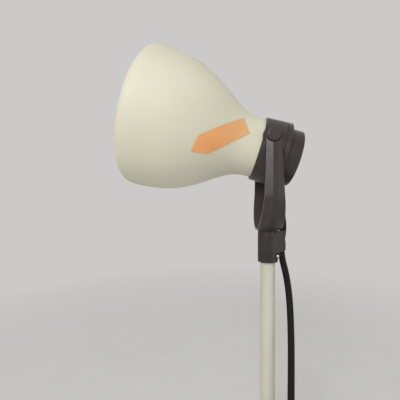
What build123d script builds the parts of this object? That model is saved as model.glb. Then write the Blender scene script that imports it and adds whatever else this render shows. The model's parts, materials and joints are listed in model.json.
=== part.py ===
from build123d import *
import math
import os

# Tilting head of a plug-in reading lamp: a bell shade on a collar, held in a forked yoke on
# the top of a slim pole. Millimetres, +Z up along the pole, origin on the pole's axis at its
# lower end. The fork's pivot axis lies along Y and the shade's mouth faces -X.

os.makedirs("parts", exist_ok=True)

# Pole and socket
pole_r = 6.0
pole_wall = 1.0
pole_top = 199.0
socket_r = 8.2
socket_low = 184.2
socket_high = 207.7
socket_web_low = 199.2
foot_thread_r = 3.5
foot_bush_height = 14.0
running_gap = 0.05

# Fork
fork_inner = 27.4
fork_outer = 31.6
bend_z = 239.6
pivot_x = -0.9
pivot_z = 282.1
arm_tip_r = 5.35
arm_knee_half_width = 7.15
arm_foot_half_width = 10.2
eye_face = 29.3
hub_top = 215.4
hub_r = 8.1
m4_r = 2.0

# Head: distances along its axis count forward from the collar's front edge
tilt_deg = 15.8
pivot_above_axis = 6.48
pivot_behind_front = 6.42
collar_front_r = 26.0
collar_rear_r = 26.7
collar_length = 17.1
collar_bore_r = 22.6
seam_groove = 0.3
ring_rear = -21.3
pad_face = 26.6
cap_r = 22.9
cap_rear = -34.8
gland_at = -24.8
gland_face_r = 24.3

# Shade
neck_r = 24.0
neck_depth = 2.9
mouth_at = 97.7
mouth_r = 49.0
lip_high = 55.1
shade_wall = 1.8

# Lampholder and bulb
holder_r = 14.0
bracket_front = -15.5
bracket_rear = -16.9
globe_r = 22.5
globe_at = 53.4

# Mains cord
cord_r = 2.75
boss_x = 11.35
boss_r = 3.55
boss_gap = 0.25
lead_joint_z = 195.4
coil_x = 58.0
coil_outer_r = 36.0
coil_inner_r = 19.5
coil_low = 1.3
coil_high = 23.3
plug_y = -46.5
plug_z = 7.0
plug_back_x = 20.0

# Head frame
tilt = math.radians(tilt_deg)
mouth_dir = Vector(-math.cos(tilt), 0, math.sin(tilt))
up_dir = Vector(math.sin(tilt), 0, math.cos(tilt))
pivot = Vector(pivot_x, 0, pivot_z)
front_centre = pivot - up_dir * pivot_above_axis + mouth_dir * pivot_behind_front
head_axis = Axis(front_centre, mouth_dir)
head_side = Plane(origin=front_centre, x_dir=mouth_dir, z_dir=(0, 1, 0))


def head_point(along, above):
    """Point in the head's own plane of symmetry."""
    return front_centre + mouth_dir * along + up_dir * above


def across(along):
    """Plane square to the head's axis, its y direction up."""
    return Plane(origin=head_point(along, 0), x_dir=(0, -1, 0), z_dir=mouth_dir)


def clock(angle):
    """Plane on the head's axis that faces outward at an angle from straight up."""
    turn = math.radians(angle)
    outward = up_dir * math.cos(turn) + Vector(0, 1, 0) * math.sin(turn)
    return Plane(origin=front_centre, x_dir=mouth_dir, z_dir=outward)


def turned(*outline):
    """Revolve a closed outline of (distance along, radius) points about the head's axis."""
    with BuildSketch(head_side) as profile:
        with BuildLine():
            Polyline(*outline, close=True)
        make_face()
    revolve(profile.sketch, axis=head_axis)


def tube(rear, front, inner, outer):
    """Plain ring about the head's axis."""
    turned((rear, inner), (front, inner), (front, outer), (rear, outer))


def pivot_face(side, distance):
    """Plane facing outward on one side of the head, centred on the pivot axis."""
    return Plane(origin=(pivot_x, side * distance, pivot_z), x_dir=(1, 0, 0), z_dir=(0, side, 0))


def pivot_disc(side, near, far, radius, mode=Mode.ADD):
    """Disc about the pivot axis on one side, from one distance to another."""
    with BuildSketch(pivot_face(side, near)) as disc:
        Circle(radius)
    extrude(disc.sketch, amount=far - near, mode=mode)


def pole_disc(low, high, radius, mode=Mode.ADD):
    """Disc about the pole's axis."""
    with BuildSketch(Plane.XY.offset(low)) as disc:
        Circle(radius)
    extrude(disc.sketch, amount=high - low, mode=mode)


def save(name, part):
    """Label a finished piece and write it."""
    part.label = name
    export_step(part, f"parts/{name}.step")


# Pole
with BuildPart() as pole_tube:
    pole_disc(0, pole_top, pole_r)
    pole_disc(0, pole_top, pole_r - pole_wall, mode=Mode.SUBTRACT)
save("pole_tube", pole_tube.part)

bush_r = pole_r - pole_wall - 0.02

with BuildPart() as pole_foot_bush:
    pole_disc(0, foot_bush_height, bush_r)
    pole_disc(0, foot_bush_height, foot_thread_r, mode=Mode.SUBTRACT)
save("pole_foot_bush", pole_foot_bush.part)

with BuildPart() as pole_top_bush:
    pole_disc(pole_top - 12, pole_top, bush_r)
    pole_disc(pole_top - 12, pole_top, m4_r + running_gap, mode=Mode.SUBTRACT)
save("pole_top_bush", pole_top_bush.part)

# Socket: fluted tube with the cord's boss on its rear side and a pad for the clamp screw
clamp_z = 189.0
clamp_angle = math.radians(-28)
clamp_dir = Vector(math.cos(clamp_angle), math.sin(clamp_angle), 0)
clamp_pad_r = 8.4
clamp_pad_half = 2.7
clamp_head_r = 2.0
flute_count = 10


def clamp_face(distance):
    """Plane square to the clamp screw at a distance from the pole's axis."""
    return Plane(origin=Vector(0, 0, clamp_z) + clamp_dir * distance, x_dir=(0, 0, 1), z_dir=clamp_dir)


boss_high = socket_high + 2.15
blend_angle = math.asin((socket_r - boss_r) / boss_x)
blend_dir = Vector(math.sin(blend_angle), math.cos(blend_angle))
blend_start = blend_dir * (socket_r - 0.05)
blend_end = Vector(boss_x, 0) + blend_dir * boss_r
with BuildPart() as pole_socket:
    with BuildSketch(Plane.XY.offset(socket_low + 3.0)):
        with Locations((boss_x, 0)):
            Circle(boss_r)
        with BuildLine():
            Polyline(
                (blend_start.X, blend_start.Y),
                (blend_end.X, blend_end.Y),
                (blend_end.X, -blend_end.Y),
                (blend_start.X, -blend_start.Y),
                close=True,
            )
        make_face()
    extrude(amount=boss_high - socket_low - 3.0)
    pole_disc(socket_high, boss_high, hub_r + 0.35, mode=Mode.SUBTRACT)
    # The boss ends in a slope that rises away from the pole
    with BuildSketch(Plane.XZ):
        with BuildLine():
            Polyline(
                (0, socket_low),
                (0, socket_low + 7.6),
                (socket_r, socket_low + 7.6),
                (boss_x + boss_r + 1, socket_low + 10.0),
                (boss_x + boss_r + 1, socket_low),
                close=True,
            )
        make_face()
    extrude(amount=socket_r, both=True, mode=Mode.SUBTRACT)
    pole_disc(socket_low, socket_high, socket_r)
    with BuildSketch(Plane.XY.offset(socket_low + 1.2)):
        with PolarLocations(socket_r + 0.35, flute_count, 78.75, 202.5, endpoint=True):
            Circle(0.95)
    extrude(amount=socket_high - socket_low - 2.4, mode=Mode.SUBTRACT)
    with BuildSketch(clamp_face(socket_r - 1.2)):
        Circle(clamp_pad_half)
    extrude(amount=clamp_pad_r - socket_r + 1.2)
    pole_disc(socket_low, socket_web_low, pole_r + running_gap, mode=Mode.SUBTRACT)
    pole_disc(socket_web_low, socket_high, m4_r + 0.1, mode=Mode.SUBTRACT)
    pole_disc(socket_high - 4.6, socket_high, 5.0 + running_gap, mode=Mode.SUBTRACT)
    with BuildSketch(Plane.XY.offset(socket_low)):
        with Locations((boss_x, 0)):
            Circle(cord_r + boss_gap)
    extrude(amount=boss_high - socket_low, mode=Mode.SUBTRACT)
    # Above its middle the boss is only a front wall, so that the lead enters from behind
    with BuildSketch(Plane.YZ.offset(socket_r + 0.2)):
        with BuildLine():
            Polyline(
                (-2.3, boss_high + 1),
                (-2.3, 201.0),
                (0.4, 198.0),
                (socket_r, 196.0),
                (socket_r, boss_high + 1),
                close=True,
            )
        make_face()
    extrude(amount=boss_x + boss_r, mode=Mode.SUBTRACT)
    with BuildSketch(clamp_face(0)):
        Circle(1.5 + running_gap)
    extrude(amount=12, mode=Mode.SUBTRACT)
    with BuildSketch(clamp_face(clamp_pad_r)):
        Circle(clamp_head_r + 0.3)
    extrude(amount=3, mode=Mode.SUBTRACT)
save("pole_socket", pole_socket.part)

with BuildPart() as clamp_screw:
    with BuildSketch(clamp_face(pole_r + 0.02)):
        Circle(1.5)
    extrude(amount=clamp_pad_r - pole_r)
    with BuildSketch(clamp_face(clamp_pad_r + 0.02)):
        Circle(clamp_head_r)
    extrude(amount=1.5)
    with BuildSketch(clamp_face(clamp_pad_r + 1.1)):
        Rectangle(6, 0.7)
    extrude(amount=2, mode=Mode.SUBTRACT)
save("clamp_screw", clamp_screw.part)

# Yoke: a U with bevelled outer faces, swept and then trimmed to its taper
arm_top = pivot_z + arm_tip_r + 1
arm_depth = fork_outer - fork_inner
with BuildPart() as yoke:
    with BuildLine(Plane.YZ):
        Line((-fork_inner, arm_top), (-fork_inner, bend_z))
        CenterArc((0, bend_z), fork_inner, 180, 180)
        Line((fork_inner, bend_z), (fork_inner, arm_top))
    with BuildSketch(Plane(origin=(0, -fork_inner, arm_top), x_dir=(1, 0, 0), z_dir=(0, 0, -1))):
        with BuildLine():
            Polyline(
                (-10, 0),
                (10, 0),
                (10, 1.6),
                (1.7, arm_depth),
                (-1.7, arm_depth),
                (-10, 1.6),
                close=True,
            )
        make_face()
    sweep()
    with BuildSketch(Plane.XZ):
        with BuildLine():
            Polyline(
                (-arm_foot_half_width, bend_z - fork_outer - 1),
                (arm_foot_half_width, bend_z - fork_outer - 1),
                (arm_knee_half_width, bend_z),
                (pivot_x + arm_tip_r, pivot_z),
                (pivot_x - arm_tip_r, pivot_z),
                (-arm_knee_half_width, bend_z),
                close=True,
            )
        make_face()
        with Locations((pivot_x, pivot_z)):
            Circle(arm_tip_r)
    extrude(amount=40, both=True, mode=Mode.INTERSECT)
    pole_disc(socket_high, hub_top, hub_r)
    pole_disc(socket_high - 4.5, socket_high, 5.0)
    pole_disc(socket_high - 5, hub_top, m4_r + 0.1, mode=Mode.SUBTRACT)
    for side in (1, -1):
        pivot_disc(side, eye_face, fork_outer + 1, arm_tip_r + 0.25, mode=Mode.SUBTRACT)
        pivot_disc(side, fork_inner - 1, eye_face + 1, m4_r + 0.06, mode=Mode.SUBTRACT)
save("yoke", yoke.part)

with BuildPart() as yoke_screw:
    pole_disc(pole_top - 10, hub_top, m4_r)
    pole_disc(hub_top, hub_top + 2.4, 3.7)
    with BuildSketch(Plane.XY.offset(hub_top + 1.2)):
        Rectangle(4.6, 0.9)
        Rectangle(0.9, 4.6)
    extrude(amount=2, mode=Mode.SUBTRACT)
save("yoke_screw", yoke_screw.part)

# Pivot hardware, one set on each side
with BuildPart() as friction_washers:
    for side in (1, -1):
        pivot_disc(side, pad_face + 0.05, fork_inner - 0.05, 5.2)
        pivot_disc(side, pad_face, fork_inner, m4_r + 0.15, mode=Mode.SUBTRACT)
save("friction_washers", friction_washers.part)

with BuildPart() as spring_washers:
    for side in (1, -1):
        pivot_disc(side, eye_face + 0.05, eye_face + 0.65, 3.9)
        pivot_disc(side, eye_face, eye_face + 1, m4_r + 0.1, mode=Mode.SUBTRACT)
save("spring_washers", spring_washers.part)

bolt_seat = eye_face + 0.7
nut_face = 20.8
nut_depth = 3.2
with BuildPart() as pivot_bolts:
    for side in (1, -1):
        pivot_disc(side, nut_face - 0.4, bolt_seat, m4_r)
        pivot_disc(side, bolt_seat, bolt_seat + 1.7, 3.75)
        with BuildSketch(pivot_face(side, bolt_seat + 0.7)):
            Rectangle(4.4, 0.9)
            Rectangle(0.9, 4.4)
        extrude(amount=2, mode=Mode.SUBTRACT)
save("pivot_bolts", pivot_bolts.part)

with BuildPart() as pivot_nuts:
    for side in (1, -1):
        with BuildSketch(pivot_face(side, nut_face)):
            RegularPolygon(3.45, 6, major_radius=False, rotation=side * (30 + tilt_deg))
            Circle(m4_r + running_gap, mode=Mode.SUBTRACT)
        extrude(amount=nut_depth)
save("pivot_nuts", pivot_nuts.part)

pivot_cap_high = 32.6
with BuildPart() as pivot_caps:
    for side in (1, -1):
        pivot_disc(side, eye_face + 0.05, pivot_cap_high, arm_tip_r - 0.1)
    domed = pivot_caps.edges().filter_by(GeomType.CIRCLE).group_by(Axis.Y)
    fillet([*domed[0], *domed[-1]], 1.4)
    for side in (1, -1):
        pivot_disc(side, eye_face, pivot_cap_high - 0.7, 4.5, mode=Mode.SUBTRACT)
save("pivot_caps", pivot_caps.part)

# Shade: spline bell with a rolled lip and an inward flange at its neck
bell = [
    (0, neck_r),
    (4, 24.1),
    (15.3, 26.5),
    (31.6, 36.1),
    (47.5, 45.8),
    (63.2, 52.1),
    (74, 54.2),
    (84, 55.3),
]


def bell_curve(lift):
    """The bell's curve, raised by a distance from the outer face."""
    return Spline(*[(along, radius + lift) for along, radius in bell])


def lip_curve(bell_line, lift):
    """Curve that rolls over from the end of the bell's curve to the mouth's edge."""
    start = bell_line @ 1
    front = mouth_at + lift
    return Bezier(start, start + (bell_line % 1) * (9 + lift / 2), (front, lip_high + lift), (front, mouth_r))


with BuildPart() as shade:
    with BuildSketch(head_side):
        with BuildLine():
            outer_lip = lip_curve(bell_curve(0), 0)
            inner_lip = lip_curve(bell_curve(-shade_wall), -shade_wall)
            Line(outer_lip @ 1, inner_lip @ 1)
            Polyline(
                (0, neck_r - shade_wall),
                (-neck_depth + 1.4, neck_r - shade_wall),
                (-neck_depth + 1.4, holder_r + 0.2),
                (-neck_depth, holder_r + 0.2),
                (-neck_depth, neck_r),
                (0, neck_r),
            )
        make_face()
    revolve(axis=head_axis)
save("shade", shade.part)

# Paper page flag stuck on the shade: a blank arrow, cut out of a thin layer over the bell
flag_gap = 0.1
flag_depth = 0.3
flag_slope = math.radians(-44.5)
flag_dir = mouth_dir * math.cos(flag_slope) + up_dir * math.sin(flag_slope)
with BuildPart() as page_flag:
    with BuildSketch(head_side):
        with BuildLine():
            outer_layer = bell_curve(flag_gap + flag_depth)
            inner_layer = bell_curve(flag_gap)
            Line(outer_layer @ 0, inner_layer @ 0)
            Line(outer_layer @ 1, inner_layer @ 1)
        make_face()
    revolve(axis=head_axis)
    with BuildSketch(Plane(origin=head_point(13.4, 9.6), x_dir=flag_dir, z_dir=(0, 1, 0))):
        with BuildLine():
            Polyline((1.6, -6.1), (37, -6.1), (46, 0), (36.5, 6.1), (0, 6.1), close=True)
        make_face()
    extrude(amount=-60, mode=Mode.INTERSECT)
save("page_flag", page_flag.part)

# Collar: turned housing with pivot pads, bracket lugs and latch windows
window_angles = (0, 120, 240)
window_rear = -16.0
window_front = -9.6
with BuildPart() as collar:
    turned(
        (0, collar_bore_r),
        (0, collar_front_r - 0.7),
        (-0.7, collar_front_r),
        (seam_groove - collar_length, collar_rear_r),
        (-collar_length, collar_rear_r - seam_groove),
        (-collar_length, collar_bore_r),
    )
    for side in (1, -1):
        pivot_disc(side, nut_face, pad_face, 7.2)
    for side in (1, -1):
        with BuildSketch(across(bracket_front + 0.05)):
            with Locations((side * 19.4, 0)):
                Rectangle(8, 6.4)
        extrude(amount=4.6)
    with BuildSketch(across(-neck_depth - 0.1)):
        Circle(neck_r + 0.1)
    extrude(amount=12, mode=Mode.SUBTRACT)
    for side in (1, -1):
        with BuildSketch(pivot_face(side, nut_face - 1)):
            RegularPolygon(3.55, 6, major_radius=False, rotation=side * (30 + tilt_deg))
        extrude(amount=nut_depth + 1.1, mode=Mode.SUBTRACT)
        pivot_disc(side, nut_face, pad_face + 1, m4_r + 0.06, mode=Mode.SUBTRACT)
        with BuildSketch(across(bracket_front)):
            with Locations((side * 18.5, 0)):
                Circle(1.5 + running_gap)
        extrude(amount=4, mode=Mode.SUBTRACT)
    for angle in window_angles:
        with BuildSketch(clock(angle)):
            with Locations(((window_rear + window_front) / 2, 0)):
                Rectangle(window_front - window_rear, 8.4)
        extrude(amount=30, mode=Mode.SUBTRACT)
save("collar", collar.part)

# Ring behind the collar, with latch hooks that show in the collar's windows
with BuildPart() as collar_ring:
    turned(
        (ring_rear, 20.6),
        (-collar_length - 0.1, 20.6),
        (-collar_length - 0.1, collar_rear_r - seam_groove),
        (-collar_length - 0.1 - seam_groove, collar_rear_r),
        (ring_rear + seam_groove, collar_rear_r + 0.2),
        (ring_rear, collar_rear_r + 0.2 - seam_groove),
    )
    tube(ring_rear, ring_rear + 2.1, 11.0, 20.6)
    for angle in window_angles:
        with BuildSketch(clock(angle).offset(20.7)):
            with Locations(((-19.4 + window_front - 0.8) / 2, 0)):
                Rectangle(19.4 + window_front - 0.8, 7.2)
        extrude(amount=1.3)
        with BuildSketch(clock(angle).offset(21.9)):
            with Locations(((window_rear + window_front) / 2, 0)):
                Rectangle(window_front - window_rear - 1.6, 7.2)
        extrude(amount=2.8)
    for side in (1, -1):
        with BuildSketch(across(ring_rear)):
            with Locations((0, side * 15.5)):
                Circle(1.5 + running_gap)
        extrude(amount=3, mode=Mode.SUBTRACT)
save("collar_ring", collar_ring.part)

# Rear cap: shallow domed cover with two screws and the lead's hole in its underside
cap_front = ring_rear - 0.1
cap_wall = 2.0
dome_r = 86.0
dome_half_angle = 14.8
dome_centre = (cap_rear + dome_r, 0)
with BuildPart() as rear_cap:
    with BuildSketch(head_side):
        with BuildLine():
            dome = CenterArc(dome_centre, dome_r, 180, -dome_half_angle)
            ThreePointArc(dome @ 1, (cap_rear + 3.15, cap_r - 0.27), (cap_rear + 4.0, cap_r))
            Polyline((cap_rear + 4.0, cap_r), (cap_front, cap_r), (cap_front, cap_r - cap_wall))
            inner_dome = CenterArc(dome_centre, dome_r - cap_wall, 180, -dome_half_angle + 1)
            Line((cap_front, cap_r - cap_wall), inner_dome @ 1)
            Line((cap_rear + cap_wall, 0), (cap_rear, 0))
        make_face()
    revolve(axis=head_axis)
    for side in (1, -1):
        with BuildSketch(across(cap_front)):
            with Locations((0, side * 15.5)):
                Circle(3.6)
        extrude(amount=cap_rear + 3.1 - cap_front)
        with BuildSketch(across(cap_rear - 1)):
            with Locations((0, side * 15.5)):
                Circle(1.5 + running_gap)
        extrude(amount=18, mode=Mode.SUBTRACT)
        with BuildSketch(across(cap_rear - 1)):
            with Locations((0, side * 15.5)):
                Circle(2.9)
        extrude(amount=4.4, mode=Mode.SUBTRACT)
    with BuildSketch(clock(180).offset(18)):
        with Locations((gland_at, 0)):
            Circle(3.0)
    extrude(amount=6, mode=Mode.SUBTRACT)
save("rear_cap", rear_cap.part)

with BuildPart() as cap_screws:
    for side in (1, -1):
        with BuildSketch(across(cap_rear + 3.38)):
            with Locations((0, side * 15.5)):
                Circle(1.5)
        extrude(amount=13.0)
        with BuildSketch(across(cap_rear + 3.38)):
            with Locations((0, side * 15.5)):
                Circle(2.7)
        extrude(amount=-1.7)
        with BuildSketch(across(cap_rear + 2.6)):
            with Locations((0, side * 15.5)):
                Rectangle(3.2, 0.7)
                Rectangle(0.7, 3.2)
        extrude(amount=-2, mode=Mode.SUBTRACT)
save("cap_screws", cap_screws.part)

with BuildPart() as lead_gland:
    with BuildSketch(clock(180).offset(19.4)):
        with Locations((gland_at, 0)):
            Circle(2.95)
    extrude(amount=2.8)
    with BuildSketch(clock(180).offset(cap_r + 0.1)):
        with Locations((gland_at, 0)):
            Circle(3.3)
    extrude(amount=gland_face_r - cap_r - 0.1)
    with BuildSketch(clock(180).offset(19)):
        with Locations((gland_at, 0)):
            Circle(1.6)
    extrude(amount=6, mode=Mode.SUBTRACT)
save("lead_gland", lead_gland.part)

# Lampholder on its bracket
with BuildPart() as holder_bracket:
    with BuildSketch(across(bracket_rear)):
        RectangleRounded(44, 13, 2)
        Circle(5.1, mode=Mode.SUBTRACT)
        with Locations((18.5, 0), (-18.5, 0)):
            Circle(1.6, mode=Mode.SUBTRACT)
    extrude(amount=bracket_front - bracket_rear)
save("holder_bracket", holder_bracket.part)

with BuildPart() as bracket_screws:
    for side in (1, -1):
        with BuildSketch(across(bracket_rear - 0.02)):
            with Locations((side * 18.5, 0)):
                Circle(1.5)
        extrude(amount=5)
        with BuildSketch(across(bracket_rear - 0.02)):
            with Locations((side * 18.5, 0)):
                Circle(1.9)
        extrude(amount=-1.7)
save("bracket_screws", bracket_screws.part)

with BuildPart() as nipple:
    tube(-21.0, -9.6, 3.6, 5.0)
save("nipple", nipple.part)

with BuildPart() as nipple_nut:
    with BuildSketch(across(bracket_rear - 0.02)):
        RegularPolygon(7, 6, major_radius=False)
        Circle(5.0 + running_gap, mode=Mode.SUBTRACT)
    extrude(amount=-2.6)
save("nipple_nut", nipple_nut.part)

base_front = -2.0
with BuildPart() as lampholder_base:
    tube(bracket_front + 0.05, -9.4, 5.0 + running_gap, 12.9)
    turned((-9.4, 0), (base_front, 0), (base_front, 12.9), (-9.4, 12.9))
    with BuildSketch(across(bracket_front)):
        with Locations((0, 9.6), (0, -9.6)):
            Circle(1.5 + running_gap)
    extrude(amount=6, mode=Mode.SUBTRACT)
save("lampholder_base", lampholder_base.part)

with BuildPart() as terminal_screws:
    for side in (1, -1):
        with BuildSketch(across(-15.4)):
            with Locations((0, side * 9.6)):
                Circle(1.5)
        extrude(amount=5)
        with BuildSketch(across(-15.5)):
            with Locations((0, side * 9.6)):
                Circle(2.4)
        extrude(amount=-1.2)
        with BuildSketch(across(-15.6)):
            with Locations((0, side * 9.6)):
                Circle(1.5)
        extrude(amount=0.3)
save("terminal_screws", terminal_screws.part)

with BuildPart() as lampholder_shell:
    turned(
        (-14.0, 13.0),
        (-14.0, holder_r),
        (-5.4, holder_r),
        (-5.4, 17.0),
        (-neck_depth - 0.1, 17.0),
        (-neck_depth - 0.1, holder_r),
        (16.0, holder_r),
        (16.0, 8.8),
        (base_front + 0.1, 8.8),
        (base_front + 0.1, 13.0),
    )
save("lampholder_shell", lampholder_shell.part)

with BuildPart() as shade_ring:
    tube(-neck_depth + 1.5, 2.6, holder_r + 0.05, 17.5)
    tube(-neck_depth + 1.5, -neck_depth + 3.2, 17.5, 20.5)
    with BuildSketch(across(2.6)):
        with PolarLocations(17.6, 12):
            Circle(0.8)
    extrude(amount=-2.6, mode=Mode.SUBTRACT)
save("shade_ring", shade_ring.part)

with BuildPart() as screw_shell:
    tube(-1.8, 14.6, 7.15, 7.6)
    tube(-1.8, -1.3, 5.6, 7.15)
save("screw_shell", screw_shell.part)

with BuildPart() as centre_contact:
    with BuildSketch(across(base_front + 0.05)):
        SlotOverall(8, 3)
    extrude(amount=0.4)
    with BuildSketch(across(base_front + 0.4)):
        Circle(1.4)
    extrude(amount=0.5)
save("centre_contact", centre_contact.part)

# Bulb: globe lamp with a 14 mm screw cap
with BuildPart() as bulb_cap:
    turned((1.0, 0), (1.0, 4.6), (2.4, 7.0), (15.0, 7.0), (15.0, 6.5), (3.0, 6.5), (3.0, 0))
save("bulb_cap", bulb_cap.part)

with BuildPart() as bulb_contact:
    turned((-0.9, 0), (-0.9, 1.6), (-0.3, 2.4), (0.95, 2.4), (0.95, 0))
save("bulb_contact", bulb_contact.part)

glass_wall = 0.8
shoulder = math.radians(130)


def globe_point(radius, angle):
    """Point on a globe outline of a given radius."""
    return (globe_at + radius * math.cos(angle), radius * math.sin(angle))


with BuildPart() as bulb_glass:
    with BuildSketch(head_side):
        with BuildLine():
            Polyline(
                (15.1, 6.7),
                (15.1, 7.5),
                (17.0, 8.5),
                (28.5, 8.5),
                globe_point(globe_r, shoulder),
            )
            ThreePointArc(
                globe_point(globe_r, shoulder),
                globe_point(globe_r, shoulder / 2),
                globe_point(globe_r, 0),
            )
            Line(globe_point(globe_r, 0), globe_point(globe_r - glass_wall, 0))
            ThreePointArc(
                globe_point(globe_r - glass_wall, 0),
                globe_point(globe_r - glass_wall, shoulder / 2),
                globe_point(globe_r - glass_wall, shoulder),
            )
            Polyline(
                globe_point(globe_r - glass_wall, shoulder),
                (28.8, 7.7),
                (17.2, 7.7),
                (15.1, 6.7),
            )
        make_face()
    revolve(axis=head_axis)
save("bulb_glass", bulb_glass.part)


# Mains cord: straight runs joined by tangent arcs
def corner_radii(points):
    """Largest bend that each corner of a route has room for."""
    radii = []
    for before, here, after in zip(points, points[1:], points[2:]):
        run_in = Vector(*here) - Vector(*before)
        run_out = Vector(*after) - Vector(*here)
        turn = math.radians(run_in.get_angle(run_out))
        radii.append(0.45 * min(run_in.length, run_out.length) / math.tan(turn / 2))
    return radii


def cord(name, points):
    """Sweep the cord's round section along a route, print its radii and save it."""
    radii = corner_radii(points)
    with BuildPart() as cable:
        with BuildLine():
            path = FilletPolyline(*points, radius=radii)
        with BuildSketch(Plane(origin=path @ 0, z_dir=path % 0)):
            Circle(cord_r)
        sweep()
    length = path.length
    share = cable.part.volume / (math.pi * cord_r**2 * length)
    print(name, "length", round(length, 1), "volume share", round(share, 4))
    print(name, "radii", [round(radius, 1) for radius in radii])
    save(name, cable.part)


lead_start = head_point(gland_at, -gland_face_r - running_gap)
lead_below = head_point(gland_at, -gland_face_r - 6)
cord(
    "head_lead",
    [
        (lead_start.X, lead_start.Y, lead_start.Z),
        (lead_below.X, lead_below.Y, lead_below.Z),
        (8.4, 6.0, 235.0),
        (13.2, 9.4, 227.0),
        (14.8, 8.0, 216.6),
        (14.0, 4.8, 208.8),
        (boss_x, 0, 200.6),
        (boss_x, 0, lead_joint_z),
    ],
)
cord(
    "cord_run",
    [
        (boss_x, 0, lead_joint_z),
        (boss_x, 0, 188.2),
        (15.4, -0.5, 173.1),
        (17.4, -3.6, 154.0),
        (17.2, -9.0, 125.0),
        (15.4, -15.6, 97.0),
        (13.2, -22.6, 71.0),
        (13.6, -28.2, 48.8),
        (15.4, -25.8, 35.6),
        (18.4, -17.6, 26.0),
        (22.2, -5.6, 20.55),
        (25.6, 7.4, 20.55),
    ],
)
cord(
    "cord_tail",
    [
        (66.2, -32.2, 4.05),
        (54.4, -35.2, 4.05),
        (43.0, -39.6, 4.8),
        (31.6, -44.4, 6.0),
        (plug_back_x, plug_y, plug_z),
    ],
)

with BuildPart() as cord_coil:
    with BuildSketch(Plane.XY.offset(coil_low)):
        with Locations((coil_x, 0)):
            Circle(coil_outer_r)
            Circle(coil_inner_r, mode=Mode.SUBTRACT)
    extrude(amount=coil_high - coil_low)
    fillet(cord_coil.edges().filter_by(GeomType.CIRCLE), cord_r)
save("cord_coil", cord_coil.part)

tie_wall = 1.2
tie_width = 9.0
with BuildPart() as cord_tie:
    with BuildSketch(Plane.XZ):
        with Locations((coil_x + (coil_outer_r + coil_inner_r) / 2, (coil_low + coil_high) / 2)):
            RectangleRounded(
                coil_outer_r - coil_inner_r + 2 * tie_wall + 1.2,
                coil_high - coil_low + 2 * tie_wall,
                2.5,
            )
            RectangleRounded(
                coil_outer_r - coil_inner_r + 1.2,
                coil_high - coil_low + 0.1,
                1.5,
                mode=Mode.SUBTRACT,
            )
    extrude(amount=tie_width / 2, both=True)
save("cord_tie", cord_tie.part)

# Flat two-pin plug
plug_half_width = 13.0
boot_length = 22.0
boot_front_x = plug_back_x - boot_length
plug_front_x = boot_front_x - 35


def plug_face(x):
    """Plane square to the plug's length, facing its pins."""
    return Plane(origin=(x, plug_y, plug_z), x_dir=(0, 1, 0), z_dir=(-1, 0, 0))


with BuildPart() as plug_body:
    with BuildSketch(Plane.XY.offset(plug_z - 6.8)):
        with BuildLine():
            Polyline(
                (boot_front_x, plug_y - 6.5),
                (boot_front_x, plug_y + 6.5),
                (boot_front_x - 12, plug_y + plug_half_width),
                (plug_front_x, plug_y + plug_half_width),
                (plug_front_x, plug_y - plug_half_width),
                (boot_front_x - 12, plug_y - plug_half_width),
                close=True,
            )
        make_face()
    extrude(amount=13.6)
    fillet(plug_body.edges().filter_by(Axis.Z), 2.5)
    chamfer(plug_body.faces().sort_by(Axis.Z)[-1].edges(), 1.2)
    chamfer(plug_body.faces().sort_by(Axis.Z)[0].edges(), 1.2)
save("plug_body", plug_body.part)

with BuildPart() as plug_boot:
    with BuildSketch(plug_face(plug_back_x)):
        Circle(3.6)
    with BuildSketch(plug_face(boot_front_x)):
        Circle(5.6)
    loft()
    for rib in range(5):
        with BuildSketch(plug_face(plug_back_x - 3 - 3.2 * rib)):
            Circle(7)
            Circle(3.0 + 0.35 * rib, mode=Mode.SUBTRACT)
        extrude(amount=1.4, mode=Mode.SUBTRACT)
save("plug_boot", plug_boot.part)

with BuildPart() as plug_pins:
    for side in (1, -1):
        with BuildSketch(plug_face(plug_front_x)):
            with Locations((side * 9.3, 0)):
                Circle(2.0)
        extrude(amount=19)
    tips = plug_pins.edges().filter_by(GeomType.CIRCLE).group_by(Axis.X)[0]
    fillet(tips, 1.2)
save("plug_pins", plug_pins.part)
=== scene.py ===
import bpy
import bmesh
import json
import math
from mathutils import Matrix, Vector


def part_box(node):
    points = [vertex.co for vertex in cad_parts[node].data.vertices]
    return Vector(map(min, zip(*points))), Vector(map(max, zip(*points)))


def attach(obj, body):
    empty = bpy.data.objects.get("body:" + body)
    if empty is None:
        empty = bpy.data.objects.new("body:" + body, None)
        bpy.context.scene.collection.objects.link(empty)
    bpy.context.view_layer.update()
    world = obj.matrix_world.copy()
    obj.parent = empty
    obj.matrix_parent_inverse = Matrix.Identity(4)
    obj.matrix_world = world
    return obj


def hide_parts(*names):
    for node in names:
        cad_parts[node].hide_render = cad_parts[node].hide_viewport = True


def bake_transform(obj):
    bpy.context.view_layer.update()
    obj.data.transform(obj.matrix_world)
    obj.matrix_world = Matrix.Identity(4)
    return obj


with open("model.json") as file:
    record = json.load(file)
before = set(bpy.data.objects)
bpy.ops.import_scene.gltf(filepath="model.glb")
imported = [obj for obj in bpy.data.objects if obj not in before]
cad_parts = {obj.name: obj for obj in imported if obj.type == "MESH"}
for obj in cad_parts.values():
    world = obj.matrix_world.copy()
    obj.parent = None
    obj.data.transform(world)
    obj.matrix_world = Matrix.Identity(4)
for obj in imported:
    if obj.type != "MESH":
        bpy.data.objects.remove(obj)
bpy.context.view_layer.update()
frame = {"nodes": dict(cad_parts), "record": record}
scene = bpy.context.scene


def add_object(name, data):
    """New object in the scene's own collection."""
    made = bpy.data.objects.new(name, data)
    scene.collection.objects.link(made)
    return made


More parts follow.
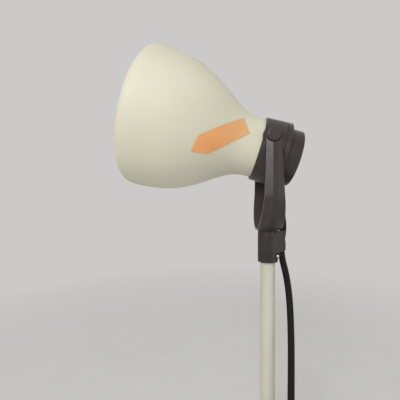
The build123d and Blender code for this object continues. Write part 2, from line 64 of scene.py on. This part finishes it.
# Camera: level, square to the fork's pivot axis, a little in front of the pole
lens_mm = 23.4
camera_place = (-0.0389, -0.2167, 0.235)
camera_data = bpy.data.cameras.new("camera")
camera_data.sensor_width = 36.0
camera_data.lens = lens_mm
camera_data.shift_x = -0.0525
camera_data.clip_start = 0.01
camera = add_object("camera", camera_data)
camera.location = camera_place
camera.rotation_euler = (math.radians(90), 0, 0)
scene.camera = camera

# Mains cord: the route's points in metres, then the coil, then the short way to the plug
cord_radius = 0.00275
run_points = [
    (0.01135, 0.0, 0.1954),
    (0.01135, 0.0, 0.1882),
    (0.0154, -0.0005, 0.1731),
    (0.0174, -0.0036, 0.154),
    (0.0172, -0.009, 0.125),
    (0.0154, -0.0156, 0.097),
    (0.0132, -0.0226, 0.071),
    (0.0136, -0.0282, 0.0488),
    (0.0154, -0.0258, 0.0356),
    (0.0184, -0.0176, 0.026),
    (0.0222, -0.0056, 0.02055),
    (0.0256, 0.0074, 0.02055),
]
tail_points = [
    (0.0662, -0.0322, 0.00405),
    (0.0544, -0.0352, 0.00405),
    (0.043, -0.0396, 0.0048),
    (0.0316, -0.0444, 0.006),
    (0.02, -0.0465, 0.007),
]
lead_points = [
    (0.01135, 0.0, 0.1954),
    (0.01135, 0.0, 0.2006),
    (0.014, 0.0048, 0.2088),
    (0.0148, 0.008, 0.2166),
    (0.0132, 0.0094, 0.227),
    (0.0084, 0.006, 0.235),
    (0.006766, 0.0, 0.241705),
    (0.008386, 0.0, 0.24743),
]

coil_centre = Vector((0.058, 0.0, 0.0))
coil_outer = 0.03325
coil_inner = 0.02225
coil_top = 0.02055
coil_layers = 4
coil_start_deg = 167.14
coil_turn_deg = 3122.84
change_deg = 90.0
points_per_turn = 18
# A quadratic spline runs inside its control points, so they stand out by this much
stand_out = 1 / (0.75 + 0.25 * math.cos(2 * math.pi / points_per_turn))


def coil_place(turned_deg):
    """Centreline of the coil after turning so far: flat spirals joined by short steps down."""
    layer_deg = (coil_turn_deg - (coil_layers - 1) * change_deg) / coil_layers
    stage_deg = layer_deg + change_deg
    layer = min(int(turned_deg // stage_deg), coil_layers - 1)
    within = turned_deg - layer * stage_deg
    along = min(within / layer_deg, 1.0)
    step = max(within - layer_deg, 0.0) / change_deg
    inward = along if layer % 2 == 0 else 1 - along
    radius = coil_outer + (coil_inner - coil_outer) * inward
    height = coil_top - 2 * cord_radius * (layer + step)
    angle = math.radians(coil_start_deg - turned_deg)
    flat = Vector((math.cos(angle), math.sin(angle), 0)) * radius * stand_out
    return coil_centre + flat + Vector((0, 0, height))


coil_count = round(coil_turn_deg / 360 * points_per_turn)
coil_points = [
    tuple(coil_place(coil_turn_deg * index / coil_count)) for index in range(1, coil_count)
]


def spline_curve(name, points, resolution):
    """Curve object with one open NURBS spline that has these places as its control points."""
    data = bpy.data.curves.new(name, "CURVE")
    data.dimensions = "3D"
    spline = data.splines.new("NURBS")
    spline.points.add(len(points) - 1)
    for point, place in zip(spline.points, points):
        point.co = (*place, 1.0)
        point.radius = cord_radius
    spline.order_u = 3
    spline.use_endpoint_u = True
    spline.resolution_u = resolution
    return add_object(name, data)


# Each point's radius is the cord's own, so the bevel's depth is 1
cord_steps = 6
lead_steps = 16
mains_cord = spline_curve("mains_cord", run_points + coil_points + tail_points, cord_steps)
mains_cord.data.bevel_depth = 1.0
mains_cord.data.bevel_resolution = 5
mains_cord.data.use_fill_caps = True
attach(mains_cord, "pole")
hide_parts("cord_run", "cord_coil", "cord_tail")


def smooth_line(points, resolution):
    """Places along the spline of a route, read from a curve with no bevel."""
    curve = spline_curve("route", points, resolution)
    bpy.context.view_layer.update()
    mesh = bpy.data.meshes.new_from_object(curve)
    places = [vertex.co.copy() for vertex in mesh.vertices]
    bpy.data.objects.remove(curve)
    bpy.data.meshes.remove(mesh)
    return places


def swept_mesh(name, line, section, closed=False):
    """Mesh that carries a section (across, up) along a line without twisting it."""
    nearly_along = 0.1
    mesh = bmesh.new()
    count = len(line)
    rings = []
    side = None
    for index, place in enumerate(line):
        if closed:
            ahead = line[(index + 1) % count] - line[index - 1]
        else:
            ahead = line[min(index + 1, count - 1)] - line[max(index - 1, 0)]
        ahead.normalize()
        if side is None:
            side = ahead.cross(Vector((0, 1, 0)))
            if side.length < nearly_along:
                side = ahead.cross(Vector((1, 0, 0)))
        side = (side - ahead * side.dot(ahead)).normalized()
        up = ahead.cross(side)
        rings.append([mesh.verts.new(place + side * a + up * b) for a, b in section])
    pairs = list(zip(rings, rings[1:]))
    if closed:
        pairs.append((rings[-1], rings[0]))
    width = len(section)
    for first, second in pairs:
        for corner in range(width):
            following = (corner + 1) % width
            mesh.faces.new(
                (first[corner], first[following], second[following], second[corner])
            )
    if not closed:
        mesh.faces.new(list(reversed(rings[0])))
        mesh.faces.new(rings[-1])
    bmesh.ops.recalc_face_normals(mesh, faces=mesh.faces)
    data = bpy.data.meshes.new(name)
    mesh.to_mesh(data)
    mesh.free()
    for polygon in data.polygons:
        polygon.use_smooth = True
    return add_object(name, data)


def circle_section(radius, sides):
    """Round section, as corners (across, up)."""
    turns = [2 * math.pi * corner / sides for corner in range(sides)]
    return [(radius * math.cos(turn), radius * math.sin(turn)) for turn in turns]


# Lead from the socket's boss up to the gland in the cap
lead_sides = 24
lead_line = smooth_line(lead_points, lead_steps)
head_lead = swept_mesh("head_lead_bent", lead_line, circle_section(cord_radius, lead_sides))
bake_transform(head_lead)
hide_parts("head_lead")

# Strap round the coil: a flat loop with its end laid over itself on top
tie_low, tie_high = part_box("cord_tie")
tie_middle = (tie_low + tie_high) / 2
tie_half = (tie_high - tie_low) / 2
strap_width = tie_high.y - tie_low.y
strap_thick = 0.0011
strap_squareness = 5
strap_edge_soft = 0.35
strap_end_width = strap_width * 0.94
strap_end_lift = strap_thick * 1.05


def strap_outline(lift, start_deg, end_deg, count):
    """Places on a rounded box round the coil's bundle, seen along Y: a superellipse."""
    places = []
    for index in range(count):
        angle = math.radians(start_deg + (end_deg - start_deg) * index / count)
        reach_x = tie_half.x - strap_thick / 2 + lift
        reach_z = tie_half.z - strap_thick / 2 + lift
        cosine, sine = math.cos(angle), math.sin(angle)
        total = abs(cosine) ** strap_squareness + abs(sine) ** strap_squareness
        size = total ** (-1 / strap_squareness)
        shift = Vector((reach_x * cosine * size, 0, reach_z * sine * size))
        places.append(tie_middle + shift)
    return places


def strap_section(width, thick):
    """Flat section with softened edges: first the way out of the loop, then along Y."""
    half, deep, soft = width / 2, thick / 2, thick * strap_edge_soft
    return [
        (-deep + soft, -half),
        (-deep, -half + soft),
        (-deep, 0),
        (-deep, half - soft),
        (-deep + soft, half),
        (deep - soft, half),
        (deep, half - soft),
        (deep, 0),
        (deep, -half + soft),
        (deep - soft, -half),
    ]


strap = swept_mesh(
    "cord_strap",
    strap_outline(lift=0, start_deg=0, end_deg=360, count=96),
    strap_section(strap_width, strap_thick),
    closed=True,
)
strap_end = swept_mesh(
    "cord_strap_end",
    strap_outline(lift=strap_end_lift, start_deg=62, end_deg=128, count=30),
    strap_section(strap_end_width, strap_thick),
)
for piece in (strap, strap_end):
    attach(piece, "pole")
    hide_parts("cord_tie")


# Materials: lengths in metres, so a noise scale of 1000 has features about 1 mm across
noise_low = 0.3
noise_high = 0.7


class Finish:
    """A material's node tree with the few node kinds that the finishes share."""

    def __init__(self, name, color, roughness, **sockets):
        self.material = bpy.data.materials.new(name)
        self.material.use_nodes = True
        self.tree = self.material.node_tree
        self.shader = self.tree.nodes["Principled BSDF"]
        self.shader.inputs["Base Color"].default_value = (*color, 1)
        self.shader.inputs["Roughness"].default_value = roughness
        for socket, value in sockets.items():
            self.shader.inputs[socket.replace("_", " ")].default_value = value
        self.coordinates = self.tree.nodes.new("ShaderNodeTexCoord")
        self.place = self.coordinates.outputs["Object"]
        self.normal = None

    def stretched(self, scale):
        """Object coordinates scaled along each axis."""
        mapping = self.tree.nodes.new("ShaderNodeMapping")
        mapping.inputs["Scale"].default_value = scale
        self.tree.links.new(self.place, mapping.inputs["Vector"])
        return mapping.outputs["Vector"]

    def noise(self, scale, detail=3.0, grain=0.55, place=None):
        """Noise value from 0 to 1."""
        node = self.tree.nodes.new("ShaderNodeTexNoise")
        node.inputs["Scale"].default_value = scale
        node.inputs["Detail"].default_value = detail
        node.inputs["Roughness"].default_value = grain
        self.tree.links.new(place or self.place, node.inputs["Vector"])
        return node.outputs["Fac"]

    def spots(self, scale):
        """Distance to the nearest of many scattered places."""
        node = self.tree.nodes.new("ShaderNodeTexVoronoi")
        node.inputs["Scale"].default_value = scale
        self.tree.links.new(self.place, node.inputs["Vector"])
        return node.outputs["Distance"]

    def spread(self, value, low, high, to_low=0.0, to_high=1.0):
        """A value stretched from one range to another and clamped."""
        node = self.tree.nodes.new("ShaderNodeMapRange")
        for socket, number in zip(
            ("From Min", "From Max", "To Min", "To Max"), (low, high, to_low, to_high)
        ):
            node.inputs[socket].default_value = number
        self.tree.links.new(value, node.inputs["Value"])
        return node.outputs["Result"]

    def colors(self, value, *stops):
        """Colour ramp over (position, colour) stops."""
        node = self.tree.nodes.new("ShaderNodeValToRGB")
        elements = node.color_ramp.elements
        while len(elements) < len(stops):
            elements.new(0.5)
        for element, (position, color) in zip(elements, stops):
            element.position = position
            element.color = (*color, 1)
        self.tree.links.new(value, node.inputs["Fac"])
        return node.outputs["Color"]

    def cloudy(self, scale, detail, dark, light):
        """Colour that drifts between two."""
        return self.colors(self.noise(scale, detail), (noise_low, dark), (noise_high, light))

    def flecks(self, scale, dark, light):
        """Fine speckled colour, for dust, grime and rubbed marks."""
        return self.colors(self.noise(scale), (0.0, dark), (1.0, light))

    def mixed(self, factor, first, second):
        """Blend of two colour outputs by a factor."""
        node = self.tree.nodes.new("ShaderNodeMix")
        node.data_type = "RGBA"
        self.tree.links.new(factor, node.inputs["Factor"])
        self.tree.links.new(first, node.inputs["A"])
        self.tree.links.new(second, node.inputs["B"])
        return node.outputs["Result"]

    def axis(self, name):
        """One of the object coordinates."""
        node = self.tree.nodes.new("ShaderNodeSeparateXYZ")
        self.tree.links.new(self.place, node.inputs["Vector"])
        return node.outputs[name]

    def product(self, first, second):
        """Two values multiplied."""
        node = self.tree.nodes.new("ShaderNodeMath")
        node.operation = "MULTIPLY"
        self.tree.links.new(first, node.inputs[0])
        self.tree.links.new(second, node.inputs[1])
        return node.outputs["Value"]

    def facing_up(self):
        """How far a surface faces up at rest, from 0 to 1."""
        node = self.tree.nodes.new("ShaderNodeSeparateXYZ")
        self.tree.links.new(self.coordinates.outputs["Normal"], node.inputs["Vector"])
        return self.spread(node.outputs["Z"], 0.25, 1.0)

    def paint(self, color):
        """Colour output to the shader."""
        self.tree.links.new(color, self.shader.inputs["Base Color"])

    def rough(self, value, low, high):
        """Roughness that varies between two numbers with a noise."""
        varied = self.spread(value, noise_low, noise_high, low, high)
        self.tree.links.new(varied, self.shader.inputs["Roughness"])

    def relief(self, height, distance, strength=1.0):
        """Bump on top of the relief so far."""
        node = self.tree.nodes.new("ShaderNodeBump")
        node.inputs["Strength"].default_value = strength
        node.inputs["Distance"].default_value = distance
        self.tree.links.new(height, node.inputs["Height"])
        if self.normal:
            self.tree.links.new(self.normal, node.inputs["Normal"])
        self.normal = node.outputs["Normal"]
        self.tree.links.new(self.normal, self.shader.inputs["Normal"])


def shade_plastic():
    """Cream moulded plastic: fine matt grain, faint flow marks, dust where it faces up."""
    finish = Finish("shade_plastic", (0.72, 0.70, 0.56), 0.55, Specular_IOR_Level=0.34)
    finish.shader.inputs["Subsurface Weight"].default_value = 0.08
    finish.shader.inputs["Subsurface Scale"].default_value = 0.002
    flow = finish.noise(14, 3, 0.5, finish.stretched((1.0, 1.0, 2.2)))
    body = finish.colors(
        flow,
        (noise_low, (0.690, 0.668, 0.528)),
        (0.5, (0.715, 0.694, 0.556)),
        (noise_high, (0.735, 0.716, 0.584)),
    )
    dust = finish.flecks(900, (0.60, 0.59, 0.52), (0.66, 0.65, 0.58))
    patches = finish.spread(finish.noise(45, 5, 0.6), 0.5, 0.85, 0.0, 0.35)
    finish.paint(finish.mixed(finish.product(patches, finish.facing_up()), body, dust))
    finish.rough(finish.noise(60, 4), 0.50, 0.62)
    finish.relief(finish.noise(22, 2), 0.00022, 0.35)
    finish.relief(finish.noise(1700, 2, 0.6), 0.00004, 0.5)
    finish.relief(finish.noise(4200, 1), 0.00002, 0.4)
    return finish.material


def taupe_plastic():
    """Dark warm grey plastic: spark-eroded grain, fine scratches, and a lighter tone where it
    faces up, partly dust and partly painted top light.
    """
    finish = Finish("taupe_plastic", (0.05, 0.045, 0.043), 0.42, Specular_IOR_Level=0.5)
    body = finish.colors(
        finish.noise(70, 4),
        (noise_low, (0.029, 0.022, 0.020)),
        (0.5, (0.034, 0.026, 0.024)),
        (0.72, (0.042, 0.033, 0.030)),
    )
    # Lighter colour laid on up-facing surfaces: partly dust, partly painted top light that makes
    # the tops lighter than the sides
    dust = finish.flecks(1200, (0.13, 0.11, 0.102), (0.19, 0.166, 0.154))
    patches = finish.spread(finish.noise(160, 5, 0.65), 0.48, 0.8, 0.32, 0.55)
    dust_and_top_light = finish.mixed(finish.product(patches, finish.facing_up()), body, dust)
    scratch = finish.noise(1, 2, 0.6, finish.stretched((1500, 1500, 70)))
    marks = finish.flecks(900, (0.08, 0.074, 0.07), (0.11, 0.103, 0.098))
    finish.paint(finish.mixed(finish.spread(scratch, 0.68, 0.78, 0.0, 0.5), dust_and_top_light, marks))
    finish.rough(finish.noise(90, 4), 0.31, 0.45)
    finish.relief(finish.noise(30, 2), 0.0002, 0.3)
    finish.relief(finish.noise(2600, 2, 0.6), 0.00004, 0.55)
    return finish.material


def pole_paint():
    """Cream powder coat: orange peel, faint grime under the socket and handling scuffs."""
    finish = Finish("pole_paint", (0.60, 0.59, 0.48), 0.32, Specular_IOR_Level=0.5)
    finish.shader.inputs["Coat Weight"].default_value = 0.25
    finish.shader.inputs["Coat Roughness"].default_value = 0.22
    body = finish.cloudy(60, 4, (0.575, 0.570, 0.455), (0.625, 0.620, 0.500))
    grime = finish.flecks(400, (0.36, 0.34, 0.28), (0.44, 0.42, 0.35))
    scuff = finish.noise(1, 3, 0.6, finish.stretched((420, 420, 55)))
    near_socket = finish.spread(finish.axis("Z"), 0.168, 0.185, 0.0, 0.35)
    soiled = finish.mixed(finish.product(near_socket, finish.noise(500, 3)), body, grime)
    finish.paint(finish.mixed(finish.spread(scuff, 0.68, 0.8, 0.0, 0.35), soiled, grime))
    finish.rough(finish.noise(110, 4), 0.26, 0.42)
    finish.relief(finish.noise(650, 2), 0.00004, 0.35)
    finish.relief(scuff, 0.00002, 0.3)
    return finish.material


def plated(name, dark, light, rough_low, rough_high):
    """Metal with fine machining marks and cloudy plating."""
    finish = Finish(name, light, rough_low, Metallic=1.0)
    finish.paint(finish.cloudy(420, 4, dark, light))
    finish.rough(finish.noise(800, 4), rough_low, rough_high)
    finish.relief(finish.noise(2400, 2, 0.6), 0.00003, 0.35)
    return finish.material


def plain_plastic(name, dark, light, rough_low, rough_high, grain=2200):
    """Small moulded part: cloudy colour and fine grain."""
    finish = Finish(name, light, rough_low, Specular_IOR_Level=0.5)
    finish.paint(finish.cloudy(150, 4, dark, light))
    finish.rough(finish.noise(260, 4), rough_low, rough_high)
    finish.relief(finish.noise(grain, 2, 0.6), 0.00003, 0.5)
    return finish.material


def flag_film():
    """Orange page-marker film: deeper at its arrow end, pale at the other, with faint fibres."""
    low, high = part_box("page_flag")
    finish = Finish("flag_paper", (0.80, 0.40, 0.16), 0.38, Specular_IOR_Level=0.45)
    length = finish.spread(finish.axis("X"), low.x, high.x)
    tint = finish.colors(
        length,
        (0.0, (0.98, 0.46, 0.165)),
        (0.45, (0.92, 0.42, 0.155)),
        (0.68, (0.80, 0.43, 0.175)),
        (1.0, (0.76, 0.46, 0.215)),
    )
    deep = finish.colors(length, (0.0, (0.95, 0.38, 0.15)), (1.0, (0.74, 0.40, 0.165)))
    clouds = finish.spread(finish.noise(130, 4), 0.42, 0.62, 0.0, 0.6)
    finish.paint(finish.mixed(clouds, tint, deep))
    finish.rough(finish.noise(300, 4), 0.32, 0.46)
    finish.relief(finish.noise(1, 3, 0.6, finish.stretched((900, 2600, 2600))), 0.00003, 0.4)
    finish.relief(finish.noise(180, 2), 0.0001, 0.35)
    return finish.material


def cord_pvc():
    """Black satin PVC sheath that shows its twisted cores a little."""
    finish = Finish("cord_pvc", (0.006, 0.006, 0.0065), 0.42, Specular_IOR_Level=0.2)
    body = finish.cloudy(240, 4, (0.005, 0.005, 0.0055), (0.009, 0.009, 0.0095))
    dust = finish.flecks(1800, (0.015, 0.015, 0.015), (0.035, 0.034, 0.032))
    patches = finish.spread(finish.noise(500, 5, 0.65), 0.58, 0.8, 0.0, 0.5)
    finish.paint(finish.mixed(patches, body, dust))
    finish.rough(finish.noise(400, 4), 0.32, 0.48)
    finish.relief(finish.noise(140, 2), 0.00025, 0.35)
    finish.relief(finish.noise(3000, 2), 0.00002, 0.4)
    return finish.material


def bulb_opal():
    """Opal glass: smooth, slightly wavy, evenly milky."""
    finish = Finish("bulb_glass", (0.90, 0.90, 0.87), 0.12, Specular_IOR_Level=0.5)
    finish.shader.inputs["Subsurface Weight"].default_value = 0.35
    finish.shader.inputs["Subsurface Scale"].default_value = 0.004
    finish.paint(finish.cloudy(40, 3, (0.87, 0.87, 0.84), (0.92, 0.92, 0.90)))
    finish.rough(finish.noise(200, 3), 0.08, 0.16)
    finish.relief(finish.noise(60, 2), 0.0001, 0.2)
    return finish.material


def strap_weave():
    """Black hook-and-loop strap: ribs across it and a soft pile."""
    finish = Finish("tie_fabric", (0.03, 0.03, 0.03), 0.85)
    finish.shader.inputs["Sheen Weight"].default_value = 0.35
    finish.shader.inputs["Sheen Roughness"].default_value = 0.5
    pile = finish.spots(2600)
    finish.paint(
        finish.colors(pile, (0.0, (0.050, 0.050, 0.052)), (0.7, (0.016, 0.016, 0.017)))
    )
    finish.rough(finish.noise(600, 4), 0.75, 0.95)
    ribs = finish.noise(1, 2, 0.5, finish.stretched((300, 2400, 300)))
    finish.relief(ribs, 0.00015, 0.6)
    finish.relief(pile, 0.0002, 0.7)
    return finish.material


finishes = {
    "pole_paint": pole_paint(),
    "steel": plated("steel", (0.50, 0.50, 0.48), (0.68, 0.68, 0.66), 0.24, 0.40),
    "taupe_plastic": taupe_plastic(),
    "washer_plastic": plain_plastic("washer_plastic", (0.015,) * 3, (0.03,) * 3, 0.4, 0.6),
    "shade_plastic": shade_plastic(),
    "flag_paper": flag_film(),
    "black_rubber": plain_plastic("black_rubber", (0.012,) * 3, (0.026,) * 3, 0.6, 0.8, 1500),
    "brass": plated("brass", (0.58, 0.42, 0.20), (0.76, 0.60, 0.33), 0.26, 0.42),
    "holder_plastic": plain_plastic(
        "holder_plastic", (0.66, 0.65, 0.60), (0.75, 0.74, 0.69), 0.35, 0.5
    ),
    "brass_nickel": plated("brass_nickel", (0.56, 0.55, 0.52), (0.72, 0.71, 0.68), 0.14, 0.26),
    "bulb_glass": bulb_opal(),
    "cord_pvc": cord_pvc(),
    "tie_fabric": strap_weave(),
}

slot_of = {part["node"]: part["material_slot"] for part in frame["record"]["subparts"]}
for node, shown in frame["nodes"].items():
    shown.data.materials.clear()
    shown.data.materials.append(finishes[slot_of[node]])
for piece, name in (
    (mains_cord, "cord_pvc"),
    (head_lead, "cord_pvc"),
    (strap, "tie_fabric"),
    (strap_end, "tie_fabric"),
):
    piece.data.materials.append(finishes[name])


# Floor: pale disc that fades out into the pale surroundings, just under the object
floor_radius = 0.75
floor_drop = 0.0002
floor_fade_start = floor_radius * 0.35
floor_fade_end = floor_radius * 0.97
floor_mesh = bmesh.new()
bmesh.ops.create_circle(floor_mesh, cap_ends=True, segments=96, radius=floor_radius)
floor_data = bpy.data.meshes.new("floor")
floor_mesh.to_mesh(floor_data)
floor_mesh.free()
floor = add_object("floor", floor_data)
floor.location = (0, 0, -floor_drop)
floor_finish = Finish("floor", (0.78, 0.77, 0.76), 0.85)
floor_finish.paint(floor_finish.cloudy(30, 4, (0.765, 0.755, 0.745), (0.795, 0.785, 0.775)))
distance = floor_finish.tree.nodes.new("ShaderNodeVectorMath")
distance.operation = "LENGTH"
floor_finish.tree.links.new(floor_finish.place, distance.inputs[0])
cover = floor_finish.spread(
    distance.outputs["Value"], floor_fade_start, floor_fade_end, 1.0, 0.0
)
floor_finish.tree.links.new(cover, floor_finish.shader.inputs["Alpha"])
floor_data.materials.append(floor_finish.material)

# Light: pale surroundings that light the object a little, a large soft key from the upper left,
# and two weaker soft lights, from the right and from behind
world = bpy.data.worlds.new("studio")
scene.world = world
world.use_nodes = True
world_nodes = world.node_tree.nodes
world_links = world.node_tree.links
ambient = world_nodes["Background"]
ambient.inputs["Color"].default_value = (1.0, 0.97, 0.93, 1)
ambient.inputs["Strength"].default_value = 0.42
shown_sky = world_nodes.new("ShaderNodeBackground")
shown_sky.inputs["Color"].default_value = (0.60, 0.59, 0.585, 1)
shown_sky.inputs["Strength"].default_value = 1.0
path = world_nodes.new("ShaderNodeLightPath")
choice = world_nodes.new("ShaderNodeMixShader")
world_links.new(path.outputs["Is Camera Ray"], choice.inputs["Fac"])
world_links.new(ambient.outputs["Background"], choice.inputs[1])
world_links.new(shown_sky.outputs["Background"], choice.inputs[2])
world_links.new(choice.outputs["Shader"], world_nodes["World Output"].inputs["Surface"])
scene.view_settings.view_transform = "Standard"


def area_light(name, place, target, size, energy):
    """Square soft light that points at a target."""
    data = bpy.data.lights.new(name, "AREA")
    data.size = size
    data.energy = energy
    lamp = add_object(name, data)
    lamp.location = place
    aim = Vector(target) - Vector(place)
    lamp.rotation_euler = aim.to_track_quat("-Z", "Y").to_euler()


head_middle = (-0.04, 0.0, 0.28)
area_light("key", (-0.36, -0.85, 0.66), head_middle, size=0.6, energy=6.3)
area_light("fill", (0.75, -0.6, 0.30), head_middle, size=0.7, energy=1.2)
area_light("back", (0.35, 0.95, 0.5), head_middle, size=1.2, energy=2.6)
